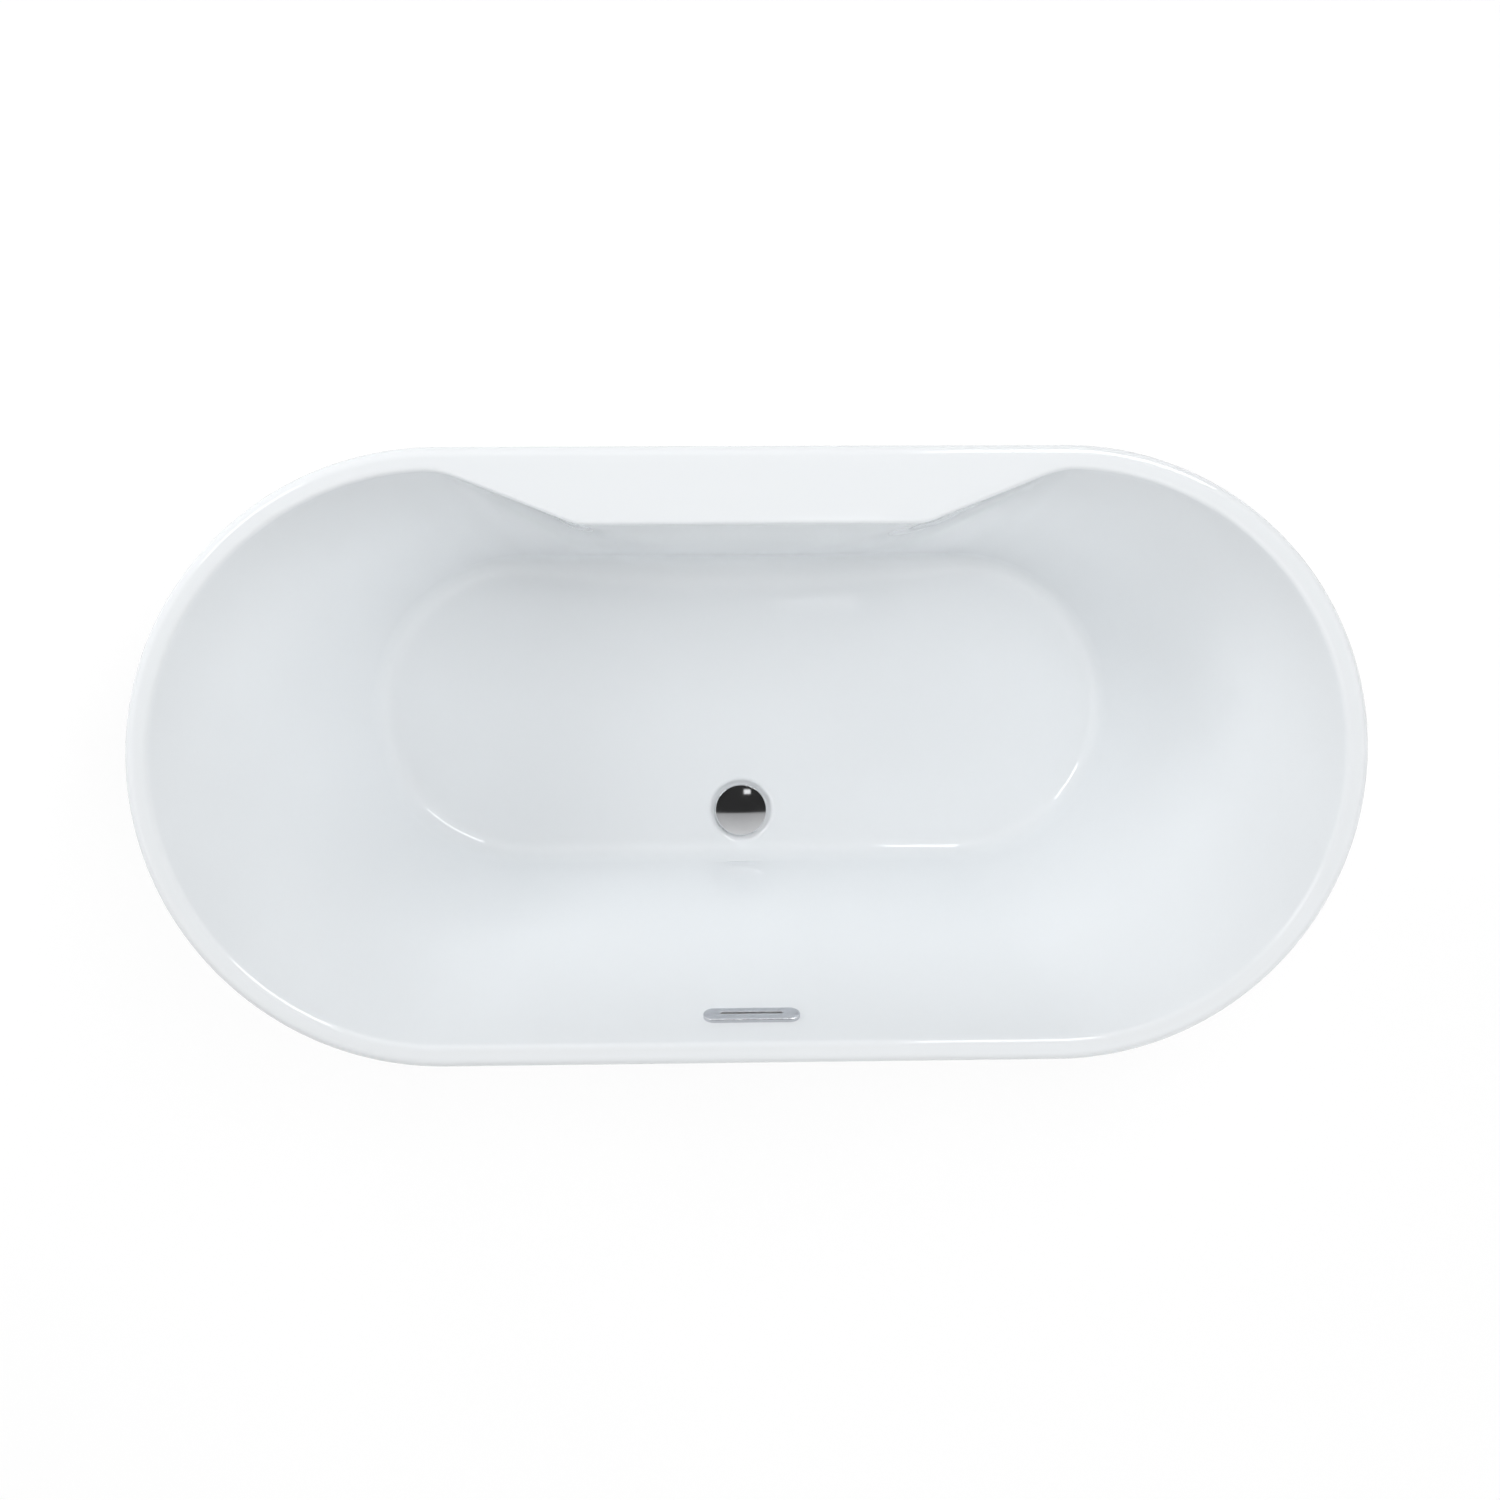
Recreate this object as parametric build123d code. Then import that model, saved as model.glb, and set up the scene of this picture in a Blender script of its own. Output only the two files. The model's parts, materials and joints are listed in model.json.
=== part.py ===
"""Freestanding acrylic bathtub: bath shell, outer skirt, steel support frame on
levelling feet, click-clack drain and slotted overflow.  Millimetres, +Z up.
Origin: centre of the tub's footprint, on the floor.  +X runs along the tub,
+Y points to the side with the faucet deck.
"""
import math
import os

from build123d import *

# Overall tub
tub_length = 1500.0
tub_width = 750.0
tub_height = 580.0
acrylic = 6.0

# Rim and faucet deck
rim_width = 27.0
rim_edge_radius = 12.0
lip_height = 35.0
opening_edge_radius = 6.0
deck_depth = 92.0
shoulder_inset = 5.0
shoulder_run = 162.0
deck_corner_blend = 12.0
shoulder_blend = 22.0

# Bath well
floor_top = 150.0
floor_half_length = 489.0
floor_half_width = 203.0
floor_shift = 19.0
floor_fillet_run = 24.0

# Outer skirt
base_length = 1160.0
base_width = 540.0
skirt_thickness = 5.0
skirt_floor_gap = 6.0
skirt_bulge = 1.3
bond_gap = 0.5
fillet_steps = 6
edge_steps = 3
shoulder_steps = 24
shoulder_arc_steps = 3
cut_over = 4.0
wall_cut = 18.0
skirt_steps = 4

# Boards bonded to the shell
board_thickness = 18.0
board_margin = 14.0
deck_board_margin = 8.0

# Steel frame
tube_size = 25.0
tube_wall = 1.5
rail_front_y = -45.0
rail_back_y = 125.0
rail_half_length = 400.0
cross_half_spacing = 330.0
cross_half_length = 242.0
end_plate_thickness = 3.0
end_plate_width = 50.0
end_plate_height = 55.0
block_width = 70.0
block_height = 60.0
block_gap = 0.2
plug_depth = 12.0
plug_head = 2.0
plug_gap = 0.1

# Wood screws
screw_radius = 2.0
screw_head_radius = 4.0
screw_head_height = 2.5
screw_gap = 0.1
screw_grip = 14.0
board_screw_spacing = 300.0
block_screw_spacing = 38.0

# Levelling feet
foot_half_spacing = 215.0
centre_foot_y = 40.0
pad_radius = 25.0
pad_height = 12.0
pad_edge = 2.0
stem_radius = 6.0
stem_top_clearance = 14.0
stem_grip_width = 17.0
stem_grip_height = 8.0
stem_grip_gap = 2.0
pad_socket_depth = 9.0
seat_gap = 0.1
thread_gap = 0.05
nut_width = 19.0
nut_sides = 6
weld_nut_height = 10.0
lock_nut_height = 6.0

# Drain
drain_y = -124.0
recess_radius = 44.0
recess_depth = 6.0
recess_slope = 8.0
recess_boss_radius = 50.0
drain_hole_radius = 24.0
board_notch_radius = 58.0
flange_radius = 31.0
flange_thickness = 2.5
flange_gasket_thickness = 1.5
drain_thread_radius = 22.0
drain_bore_radius = 19.0
drain_thread_length = 46.0
hub_radius = 10.0
hub_height = 12.0
hub_drop = 14.0
spoke_width = 5.0
drain_washer_thickness = 4.0
drain_washer_radius = 34.0
body_flange_thickness = 4.0
body_radius = 27.0
body_height = 84.0
body_waist_radius = 17.0
tail_radius = 19.05
tail_top_radius = 19.5
tail_wall = 1.6
tail_floor_gap = 12.0
tail_free_length = 28.0
tail_socket_depth = 24.0
slip_nut_radius = 32.0
slip_nut_height = 20.0
slip_nut_lap = 12.0
slip_nut_sides = 12
slip_washer_thickness = 3.0

# Stopper
cap_radius = 35.5
cap_edge_height = 4.0
cap_crown = 1.8
cap_bevel = 1.2
cap_hollow_depth = 2.0
cap_wall = 2.0
seal_outer_radius = 28.0
seal_inner_radius = 22.0
seal_thickness = 2.0
seal_gap = 0.2
plunger_radius = 3.6
plunger_foot_radius = 5.6
plunger_foot_height = 4.0
stopper_travel = 8.0
cartridge_radius = 8.0
cartridge_bore_radius = 6.2
cartridge_height = 42.0
cartridge_cap_height = 5.0
cartridge_above_hub = 6.0
spring_wire_radius = 0.5
spring_turns = 5
spring_gap = 0.3

# Overflow
overflow_below_rim = 54.0
plate_length = 120.0
plate_height = 26.0
plate_depth = 5.0
plate_wall = 1.5
plate_round = 1.0
slot_length = 77.0
slot_height = 3.9
slot_drop = 1.5
overflow_hole_length = 84.0
overflow_hole_height = 13.0
clamp_length = 114.0
clamp_height = 20.0
clamp_thickness = 2.2
clamp_screw_half_spacing = 49.0
clamp_screw_radius = 2.0
clamp_screw_length = 15.0
overflow_gasket_thickness = 2.0
duct_length = 112.0
duct_height = 22.0
duct_depth = 13.0
duct_wall = 2.0
duct_drop = 72.0
duct_neck_length = 44.0
pipe_radius = 14.0
pipe_wall = 2.0
pipe_corner_reach = 128.0
spigot_drop = 81.0
spigot_back = 29.3
pipe_bend_radius = 45.0
port_radius = 17.0
port_reach = 48.0
pipe_insert = 14.0
spigot_length = 44.0
pipe_nut_radius = 21.0
pipe_nut_length = 20.0
pipe_nut_lap = 12.0
pipe_nut_sides = 8

# Worked-out places
end_radius = tub_width / 2
end_centre = (tub_length - tub_width) / 2
opening_radius = end_radius - rim_width
deck_edge_y = end_radius - deck_depth
shoulder_half_length = end_centre - shoulder_inset
deck_half_length = shoulder_half_length - shoulder_run
bath_depth = tub_height - floor_top
floor_bottom = floor_top - acrylic
floor_end_centre = floor_half_length - floor_half_width
rim_underside = tub_height - acrylic
lip_bottom = tub_height - lip_height
board_bottom = floor_bottom - board_thickness
rail_bottom = board_bottom - tube_size
cross_bottom = rail_bottom - tube_size
drain_seat = floor_top - recess_depth
flange_top = drain_seat + flange_gasket_thickness + flange_thickness
drain_underside = drain_seat - acrylic
body_top = drain_underside - drain_washer_thickness
body_bottom = body_top - body_height
cap_bottom = flange_top + seal_gap + seal_thickness
drain_thread_hole = drain_thread_radius + thread_gap
clamp_screw_hole = clamp_screw_radius + screw_gap


def corner(distance, half_width):
    """Distance past a corner, nothing before it, with a parabola across it."""
    if distance <= -half_width:
        return 0.0
    if distance >= half_width:
        return distance
    return (distance + half_width) ** 2 / (4 * half_width)


def deck_drop(x):
    """How far the opening's back edge is pulled in to leave room for the deck."""
    slope = (opening_radius - deck_edge_y) / (shoulder_half_length - deck_half_length)
    shoulder = corner(shoulder_half_length - abs(x), shoulder_blend)
    deck = corner(deck_half_length - abs(x), deck_corner_blend)
    return slope * (shoulder - deck)


def plan(fraction):
    """Half the straight side, the end radius and the shift of the well's plan."""
    half = floor_end_centre + fraction * (end_centre - floor_end_centre)
    radius = floor_half_width + fraction * (opening_radius - floor_half_width)
    return half, radius, floor_shift * (1 - fraction)


def shoulder(fraction, growth, height):
    """Points of one back shoulder, from the end arc to the deck's straight edge.

    fraction runs from the floor's edge, 0, to the opening in the rim, 1, and
    growth moves the curve outwards, square to its own run.
    """
    half, radius, shift = plan(fraction)
    reach = shoulder_blend - shoulder_inset
    points = []
    for step in range(-1, shoulder_arc_steps):
        turn = math.acos(reach / opening_radius * (1 - step / shoulder_arc_steps))
        points.append((half + radius * math.cos(turn), radius * math.sin(turn)))
    straight_end = half * (deck_half_length - deck_corner_blend) / end_centre
    for step in range(shoulder_steps + 2):
        points.append((half - (half - straight_end) * step / shoulder_steps, radius))
    spread = end_centre / half
    shaped = [(x, shift + y - fraction * deck_drop(x * spread)) for x, y in points]
    moved = []
    for before, (x, y), after in zip(shaped, shaped[1:], shaped[2:]):
        run_x, run_y = after[0] - before[0], after[1] - before[1]
        run = math.hypot(run_x, run_y)
        moved.append(Vector(x + growth * run_y / run, y - growth * run_x / run, height))
    return moved


def section(fraction, growth, height):
    """Closed wire of the well's plan at a height: straight front, round ends, deck."""
    half, radius, shift = plan(fraction)
    front = shift - radius - growth
    right = shoulder(fraction, growth, height)
    left = [Vector(-point.X, point.Y, height) for point in reversed(right)]
    reach = radius + growth
    corners = (Vector(-half, front, height), Vector(half, front, height))
    arcs = []
    for side in (-1, 1):
        slope = math.atan2(right[0].Y - shift, right[0].X - half)
        middle = (slope - math.pi / 2) / 2
        x = half + reach * math.cos(middle)
        arcs.append(Vector(side * x, shift + reach * math.sin(middle), height))
    tangent = Vector(right[0].Y - shift, half - right[0].X).normalized()
    edges = [
        Edge.make_line(*corners),
        Edge.make_three_point_arc(corners[1], arcs[1], right[0]),
        Edge.make_spline(right, tangents=[Vector(-tangent.X, -tangent.Y), Vector(-1, 0)]),
        Edge.make_line(right[-1], left[0]),
        Edge.make_spline(left, tangents=[Vector(-1, 0), Vector(-tangent.X, tangent.Y)]),
        Edge.make_three_point_arc(left[-1], arcs[0], corners[0]),
    ]
    return Wire(edges)


def well_rows(wall):
    """Rows of the well's side from the floor up: fraction, growth and height.

    A parabola turns the floor into the straight wall, and a small one rounds
    the opening's edge.  wall moves every row square to the surface.
    """
    lean = (opening_radius - floor_half_width) / bath_depth
    rows = []
    for step in range(fillet_steps + 1):
        s = step / fillet_steps
        out = (1 - s) + s * lean
        length = math.hypot(out, s)
        growth = wall * s / length - floor_fillet_run * (1 - s) ** 2
        height = floor_top + s * s * floor_fillet_run - wall * out / length
        rows.append((s * s * floor_fillet_run / bath_depth, growth, height))
    if wall > 0:
        slant = math.hypot(1, lean)
        rows.append((1.0, wall / slant, tub_height - wall * lean / slant))
        return rows
    for step in range(edge_steps + 1):
        s = step / edge_steps
        below = (1 - s) ** 2 * opening_edge_radius
        rows.append((1 - below / bath_depth, s * s * opening_edge_radius, tub_height - below))
    rows.append((1.0, opening_edge_radius, tub_height + cut_over))
    return rows


def well_solid(wall):
    """The well's space with its walls moved out by wall; with none it cuts through the rim."""
    return Solid.make_loft([section(*row) for row in well_rows(wall)], ruled=True)


def stadium(length, width, height):
    """Face of a straight-sided oval at a height."""
    return Pos(0, 0, height) * SlotOverall(length, width)


def rod(start, end, radius):
    """Round bar between two points."""
    start = Vector(*start)
    end = Vector(*end)
    return extrude(Plane(origin=start, z_dir=end - start) * Circle(radius), (end - start).length)


def ring(start, end, outer, inner):
    """Round tube between two points."""
    return rod(start, end, outer) - rod(start, end, inner)


def upright(x, y, low, high, radius):
    """Vertical round bar."""
    return rod((x, y, low), (x, y, high), radius)


def sleeve(x, y, low, high, outer, inner):
    """Vertical round tube."""
    return upright(x, y, low, high, outer) - upright(x, y, low, high, inner)


def block(low, high):
    """Box between two corners."""
    size = [b - a for a, b in zip(low, high)]
    return Pos(*low) * Box(*size, align=(Align.MIN, Align.MIN, Align.MIN))


def joined(pieces):
    """Several separate solids in one sub-part."""
    return Compound(children=list(pieces))


# ---------------------------------------------------------------- shells
def overflow_frame():
    """Plane on the front wall at the overflow: x along the tub, y up the wall."""
    lean = (opening_radius - (floor_half_width - floor_shift)) / bath_depth
    y = -opening_radius + lean * overflow_below_rim
    slant = math.hypot(1, lean)
    normal = (0, 1 / slant, lean / slant)
    origin = (0, y, tub_height - overflow_below_rim)
    return Plane(origin=origin, x_dir=(-1, 0, 0), z_dir=normal)


def wall_slot(length, height, low, high, drop=0.0):
    """Straight-sided oval bar square to the front wall at the overflow."""
    face = Pos(0, -drop, low) * SlotOverall(length, height)
    return overflow_frame() * extrude(face, high - low)


def wall_pin(offset, low, high, radius):
    """Round bar square to the front wall, beside the overflow."""
    return overflow_frame() * Pos(offset, 0, low) * extrude(Circle(radius), high - low)


def basin():
    """Well, rim, deck and lip in one sheet, with the drain's recess and the overflow's holes."""
    shell = well_solid(acrylic)
    # the overflow's holes are cut before the well is hollowed, while its front wall is solid
    shell -= wall_slot(overflow_hole_length, overflow_hole_height, -wall_cut, acrylic)
    for side in (-1, 1):
        shell -= wall_pin(side * clamp_screw_half_spacing, -wall_cut, acrylic, clamp_screw_hole)
    rim = extrude(stadium(tub_length, tub_width, lip_bottom), lip_height)
    rim = fillet(rim.edges().group_by(Axis.Z)[-1], rim_edge_radius)
    inner_length = tub_length - 2 * acrylic
    inner_width = tub_width - 2 * acrylic
    rim -= extrude(stadium(inner_length, inner_width, lip_bottom), lip_height - acrylic)
    shell = rim + shell + upright(0, drain_y, drain_underside, floor_top, recess_boss_radius)
    shell -= well_solid(0)
    # the cone runs on above the floor, so that it also trims the foot of the front wall
    shell -= Pos(0, drain_y, floor_top) * Cone(
        recess_radius - recess_slope, recess_radius + recess_slope, 2 * recess_depth)
    return shell - upright(0, drain_y, drain_underside - cut_over, floor_top, drain_hole_radius)


def skirt_solid(inset):
    """The skirt's outer form, moved in by inset, from its base to the rim."""
    top = rim_underside
    bend = lip_bottom - bond_gap
    top_length = tub_length - 2 * (acrylic + bond_gap)
    top_width = tub_width - 2 * (acrylic + bond_gap)
    faces = []
    for step in range(skirt_steps + 1):
        u = step / skirt_steps
        share = 1 - (1 - u) ** skirt_bulge
        length = base_length + (top_length - base_length) * share - 2 * inset
        width = base_width + (top_width - base_width) * share - 2 * inset
        height = skirt_floor_gap + (bend - skirt_floor_gap) * u
        faces.append(stadium(length, width, height))
    body = Solid.make_loft([face.face().outer_wire() for face in faces])
    return body + extrude(faces[-1], top - bend)


def outer_skirt():
    return skirt_solid(0) - skirt_solid(skirt_thickness)


def base_board():
    length = 2 * (floor_half_length - floor_fillet_run - board_margin)
    width = 2 * (floor_half_width - floor_fillet_run - board_margin)
    board = Pos(0, floor_shift, 0) * extrude(stadium(length, width, board_bottom), board_thickness)
    board -= upright(0, drain_y, board_bottom, floor_bottom, board_notch_radius)
    for x, y in board_screw_places():
        top = board_bottom + screw_grip + screw_gap
        board -= upright(x, y, board_bottom, top, screw_radius + screw_gap)
    return board


def deck_board():
    low_y = deck_edge_y + acrylic + deck_board_margin
    high_y = end_radius - acrylic - skirt_thickness - deck_board_margin
    half = deck_half_length - deck_board_margin
    low_z = rim_underside - board_thickness
    board = block((-half, low_y, low_z), (half, high_y, rim_underside))
    return fillet(board.edges().filter_by(Axis.Z), deck_board_margin)


# ---------------------------------------------------------------- frame
def tube_along_x(half_length, y, bottom):
    half = tube_size / 2
    inside = half - tube_wall
    middle = bottom + half
    outer = block((-half_length, y - half, bottom), (half_length, y + half, bottom + tube_size))
    low, high = middle - inside, middle + inside
    return outer - block((-half_length, y - inside, low), (half_length, y + inside, high))


def tube_along_y(x, low_y, high_y, bottom):
    outer = block((x - tube_size / 2, low_y, bottom), (x + tube_size / 2, high_y, bottom + tube_size))
    inside = tube_size / 2 - tube_wall
    middle = bottom + tube_size / 2
    return outer - block((x - inside, low_y, middle - inside), (x + inside, high_y, middle + inside))


def board_screw_places():
    places = []
    for y in (rail_front_y, rail_back_y):
        for x in (-board_screw_spacing / 2, board_screw_spacing / 2):
            places.append((x, y))
    return places


def rail(y):
    tube = tube_along_x(rail_half_length, y, rail_bottom)
    for place_x, place_y in board_screw_places():
        if place_y == y:
            tube -= upright(place_x, y, rail_bottom, board_bottom, screw_radius + screw_gap)
    return tube


def rail_plugs():
    """Plastic plugs that close the rails' open ends."""
    inside = tube_size / 2 - tube_wall - plug_gap
    middle = rail_bottom + tube_size / 2
    plugs = []
    for y in (rail_front_y, rail_back_y):
        for side in (-1, 1):
            end = side * rail_half_length
            low, high = sorted((end - side * plug_depth, end))
            plug = block((low, y - inside, middle - inside), (high, y + inside, middle + inside))
            low, high = sorted((end, end + side * plug_head))
            half = tube_size / 2
            plugs.append(plug + block((low, y - half, middle - half), (high, y + half, middle + half)))
    return joined(plugs)


def foot_places():
    places = []
    for x in (-cross_half_spacing, cross_half_spacing):
        for y in (-foot_half_spacing, foot_half_spacing):
            places.append((x, y))
    places.append((0.0, centre_foot_y))
    return places


def cross_member(x, low_y, high_y):
    tube = tube_along_y(x, low_y, high_y, cross_bottom)
    for foot_x, foot_y in foot_places():
        if foot_x == x:
            tube -= upright(x, foot_y, cross_bottom, rail_bottom, stem_radius + thread_gap)
    return tube


def cross_ends():
    places = []
    for x in (-cross_half_spacing, cross_half_spacing):
        for side in (-1, 1):
            places.append((x, side))
    return places


def block_screw_places():
    """Screw axes through the end plates: x, side and height."""
    places = []
    for x, side in cross_ends():
        for offset in (-block_screw_spacing / 2, block_screw_spacing / 2):
            places.append((x + offset, side, cross_bottom + tube_size / 2))
    return places


def block_screw_bar(x, side, z, depth, radius):
    start = side * (cross_half_length - screw_gap)
    return rod((x, start, z), (x, start + side * depth, z), radius)


def end_plates():
    """Steel plates welded across the ends of the long cross members."""
    plates = []
    for x, side in cross_ends():
        low_y, high_y = sorted((side * cross_half_length, side * (cross_half_length + end_plate_thickness)))
        middle = cross_bottom + tube_size / 2
        half_x, half_z = end_plate_width / 2, end_plate_height / 2
        plate = block((x - half_x, low_y, middle - half_z), (x + half_x, high_y, middle + half_z))
        for offset in (-block_screw_spacing / 2, block_screw_spacing / 2):
            depth = 2 * end_plate_thickness
            plate -= block_screw_bar(x + offset, side, middle, depth, screw_radius + screw_gap)
        plates.append(plate)
    return joined(plates)


def skirt_block(x, side):
    """Timber block bonded inside the skirt, which an end plate is screwed to."""
    start = cross_half_length + end_plate_thickness
    low_y, high_y = sorted((side * start, side * end_radius))
    middle = cross_bottom + tube_size / 2
    half_x, half_z = block_width / 2, block_height / 2
    rough = block((x - half_x, low_y, middle - half_z), (x + half_x, high_y, middle + half_z))
    timber = rough & skirt_solid(skirt_thickness + block_gap)
    for place_x, place_side, z in block_screw_places():
        if place_side == side and abs(place_x - x) < block_width:
            depth = end_plate_thickness + screw_grip + 2 * screw_gap
            timber -= block_screw_bar(place_x, side, z, depth, screw_radius + screw_gap)
    return timber.solids()[0]


def block_screws():
    """Wood screws from the end plates into the timber blocks."""
    screws = []
    for x, side, z in block_screw_places():
        face = side * cross_half_length
        head = rod((x, face, z), (x, face - side * screw_head_height, z), screw_head_radius)
        shank = rod((x, face, z), (x, face + side * (end_plate_thickness + screw_grip), z), screw_radius)
        screws.append(head + shank)
    return joined(screws)


def board_screws():
    """Wood screws up through the rails into the base board."""
    screws = []
    for x, y in board_screw_places():
        head = upright(x, y, rail_bottom - screw_head_height, rail_bottom, screw_head_radius)
        screws.append(head + upright(x, y, rail_bottom, board_bottom + screw_grip, screw_radius))
    return joined(screws)


# ---------------------------------------------------------------- feet
def hexagon_nut(x, y, low, height):
    nut = Pos(x, y, low) * extrude(RegularPolygon(nut_width / 2, nut_sides, major_radius=False), height)
    return nut - upright(x, y, low, low + height, stem_radius + thread_gap)


def weld_nuts():
    low = cross_bottom - weld_nut_height
    return joined(hexagon_nut(x, y, low, weld_nut_height) for x, y in foot_places())


def lock_nuts():
    low = cross_bottom - weld_nut_height - lock_nut_height
    return joined(hexagon_nut(x, y, low, lock_nut_height) for x, y in foot_places())


def foot_pad(x, y):
    pad = fillet(upright(x, y, 0, pad_height, pad_radius).edges().group_by(Axis.Z)[-1], pad_edge)
    socket = pad_height - pad_socket_depth
    return pad - upright(x, y, socket, pad_height, stem_radius + seat_gap)


def foot_stem(x, y):
    low = pad_height - pad_socket_depth + seat_gap
    top = board_bottom - stem_top_clearance
    grip_low = pad_height + stem_grip_gap
    grip = extrude(RegularPolygon(stem_grip_width / 2, nut_sides, major_radius=False), stem_grip_height)
    return upright(x, y, low, top, stem_radius) + Pos(x, y, grip_low) * grip


# ---------------------------------------------------------------- drain
def drain_flange():
    low = flange_top - flange_thickness
    flange = upright(0, drain_y, low, flange_top, flange_radius)
    flange += upright(0, drain_y, low - drain_thread_length, low, drain_thread_radius)
    flange -= upright(0, drain_y, low - drain_thread_length, flange_top, drain_bore_radius)
    hub_top = flange_top - hub_drop
    hub_low = hub_top - hub_height
    web = upright(0, drain_y, hub_low, hub_top, hub_radius)
    reach = (drain_bore_radius + drain_thread_radius) / 2
    spoke = block((-reach, drain_y - spoke_width / 2, hub_low), (reach, drain_y + spoke_width / 2, hub_top))
    web += spoke
    web += Pos(0, drain_y, 0) * Rot(0, 0, 90) * Pos(0, -drain_y, 0) * spoke
    web -= upright(0, drain_y, hub_low, hub_top, cartridge_radius + thread_gap)
    return flange + web


def flange_gasket():
    return sleeve(0, drain_y, drain_seat, drain_seat + flange_gasket_thickness,
                  flange_radius, drain_thread_hole)


def drain_washer():
    return sleeve(0, drain_y, body_top, drain_underside, drain_washer_radius, drain_thread_hole)


def port_height():
    return body_bottom + tail_socket_depth + port_radius


def drain_body():
    """Tee under the well: drain thread above, outlet below, overflow port in front."""
    body = upright(0, drain_y, body_bottom, body_top, body_radius)
    body += upright(0, drain_y, body_top - body_flange_thickness, body_top, drain_washer_radius)
    z = port_height()
    end_y = drain_y - port_reach
    body += rod((0, drain_y, z), (0, end_y, z), port_radius)
    thread_bottom = flange_top - flange_thickness - drain_thread_length - seat_gap
    body -= upright(0, drain_y, thread_bottom, body_top, drain_thread_hole)
    body -= upright(0, drain_y, body_bottom, body_top, body_waist_radius)
    body -= upright(0, drain_y, body_bottom, body_bottom + tail_socket_depth, tail_top_radius + thread_gap)
    body -= rod((0, drain_y, z), (0, end_y, z), pipe_radius - pipe_wall)
    body -= rod((0, end_y + pipe_insert + seat_gap, z), (0, end_y, z), pipe_radius + thread_gap)
    return body


def tailpiece():
    """Outlet tube: a plain free end, and a slightly wider top held by the slip nut."""
    top = body_bottom + tail_socket_depth - seat_gap
    step = tail_floor_gap + tail_free_length
    tube = upright(0, drain_y, tail_floor_gap, top, tail_radius)
    tube += upright(0, drain_y, step, top, tail_top_radius)
    return tube - upright(0, drain_y, tail_floor_gap, top, tail_radius - tail_wall)


def slip_washer():
    low = body_bottom - slip_washer_thickness
    return sleeve(0, drain_y, low, body_bottom, body_radius - thread_gap, tail_top_radius + thread_gap)


def slip_nut():
    top = body_bottom + slip_nut_lap
    low = top - slip_nut_height
    nut = Pos(0, drain_y, low) * extrude(RegularPolygon(slip_nut_radius, slip_nut_sides), slip_nut_height)
    nut -= upright(0, drain_y, low, top, tail_top_radius + screw_gap)
    return nut - upright(0, drain_y, body_bottom - slip_washer_thickness, top, body_radius + thread_gap)


# ---------------------------------------------------------------- stopper
def stopper_cap():
    """Crowned disc with a bevelled edge; seal and plunger sit in its underside."""
    bevel_low = cap_bottom + cap_edge_height - cap_bevel
    crown_low = cap_bottom + cap_edge_height
    crown_start = cap_radius - cap_bevel
    ball_radius = (crown_start ** 2 + cap_crown ** 2) / (2 * cap_crown)
    ball = Pos(0, drain_y, crown_low + cap_crown - ball_radius) * Sphere(ball_radius)
    cap = upright(0, drain_y, cap_bottom, bevel_low, cap_radius)
    cap += Pos(0, drain_y, bevel_low + cap_bevel / 2) * Cone(cap_radius, crown_start, cap_bevel)
    cap += upright(0, drain_y, crown_low - cap_bevel, crown_low + 2 * cap_crown, crown_start) & ball
    hollow_top = cap_bottom + cap_hollow_depth
    cap -= sleeve(0, drain_y, cap_bottom, hollow_top, cap_radius - cap_wall, seal_outer_radius)
    return cap - upright(0, drain_y, cap_bottom, hollow_top, plunger_radius + thread_gap)


def stopper_seal():
    return sleeve(0, drain_y, cap_bottom - seal_thickness, cap_bottom, seal_outer_radius, seal_inner_radius)


def cartridge_top():
    return flange_top - hub_drop + cartridge_above_hub


def cartridge():
    """Threaded housing in the drain's web, which guides the plunger."""
    top = cartridge_top()
    low = top - cartridge_height
    housing = upright(0, drain_y, low, top, cartridge_radius)
    bore_low = low + cartridge_cap_height
    housing -= upright(0, drain_y, bore_low, top - cartridge_cap_height, cartridge_bore_radius)
    return housing - upright(0, drain_y, top - cartridge_cap_height, top, plunger_radius + thread_gap)


def plunger_foot_bottom():
    """The foot lies one stroke, and a little more, under the housing's cap."""
    return cartridge_top() - cartridge_cap_height - plunger_foot_height - stopper_travel - spring_gap


def plunger():
    foot_low = plunger_foot_bottom()
    stem = upright(0, drain_y, foot_low, cap_bottom + cap_hollow_depth, plunger_radius)
    return stem + upright(0, drain_y, foot_low, foot_low + plunger_foot_height, plunger_foot_radius)


def stopper_spring():
    """Coil spring under the plunger's foot, which lifts the stopper when unlatched."""
    low = cartridge_top() - cartridge_height + cartridge_cap_height + spring_wire_radius + spring_gap / 2
    high = plunger_foot_bottom() - spring_wire_radius - spring_gap / 2
    radius = cartridge_bore_radius - spring_wire_radius - spring_gap
    pitch = (high - low) / spring_turns
    path = Helix(pitch, high - low, radius)
    wire = Plane(origin=path @ 0, z_dir=path % 0) * Circle(spring_wire_radius)
    return Pos(0, drain_y, low) * sweep(wire, path)


# ---------------------------------------------------------------- overflow
def overflow_plate():
    """Shallow cover with one slot, clipped over the clamp ring."""
    plate = wall_slot(plate_length, plate_height, 0, plate_depth)
    frame = overflow_frame()
    front = max(plate.faces(), key=lambda face: frame.to_local_coords(face.center()).Z)
    plate = fillet(front.edges(), plate_round)
    inner_length, inner_height = plate_length - 2 * plate_wall, plate_height - 2 * plate_wall
    plate -= wall_slot(inner_length, inner_height, 0, plate_depth - plate_wall)
    return plate - wall_slot(slot_length, slot_height, 0, plate_depth, slot_drop)


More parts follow.
